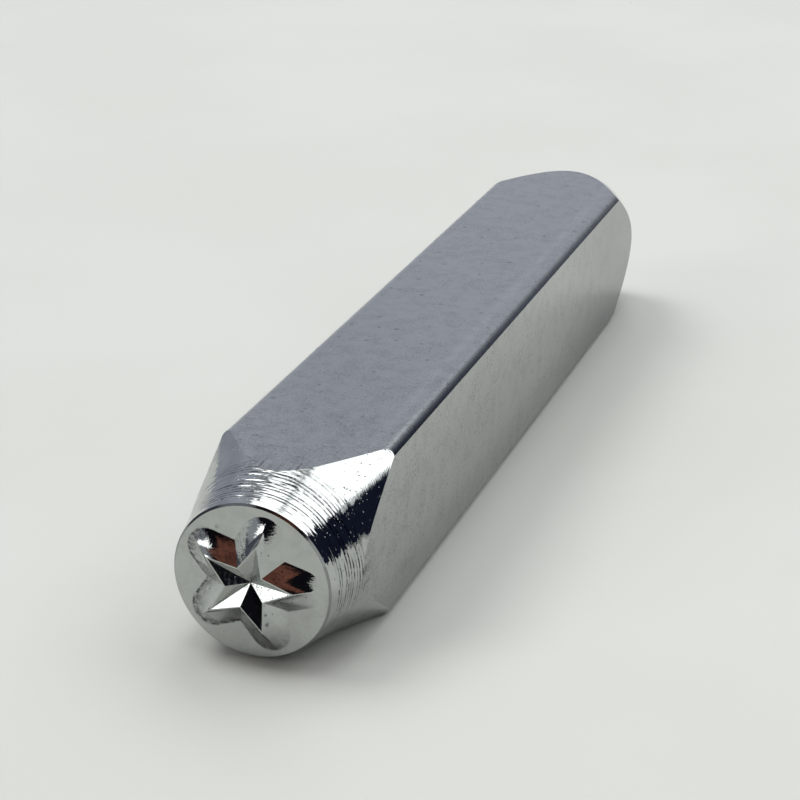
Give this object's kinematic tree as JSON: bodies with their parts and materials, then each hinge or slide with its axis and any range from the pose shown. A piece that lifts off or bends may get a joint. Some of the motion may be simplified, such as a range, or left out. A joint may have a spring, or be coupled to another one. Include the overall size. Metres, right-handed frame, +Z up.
{
  "type": "star design stamping punch",
  "caption": "Square-shank steel hand punch with a turned neck that carries a raised, carved star, and a tapered striking end.",
  "frame": {"origin": "middle of the underside, on the surface the punch lies on, half way along its length", "axes": "+Z up from the flat it lies on; Y along the punch, star face at the -Y end and striking face at the +Y end; X across the shank, so the star faces a viewer who looks along +Y with +X to the right"},
  "size_m": [0.01, 0.065, 0.01],
  "materials": {
    "plated_steel": "bright plated steel, polished face, fine turning marks on the neck, slightly worn flats"
  },
  "bodies": {
    "root": {"star_punch": "plated_steel"}
  },
  "joints": []
}
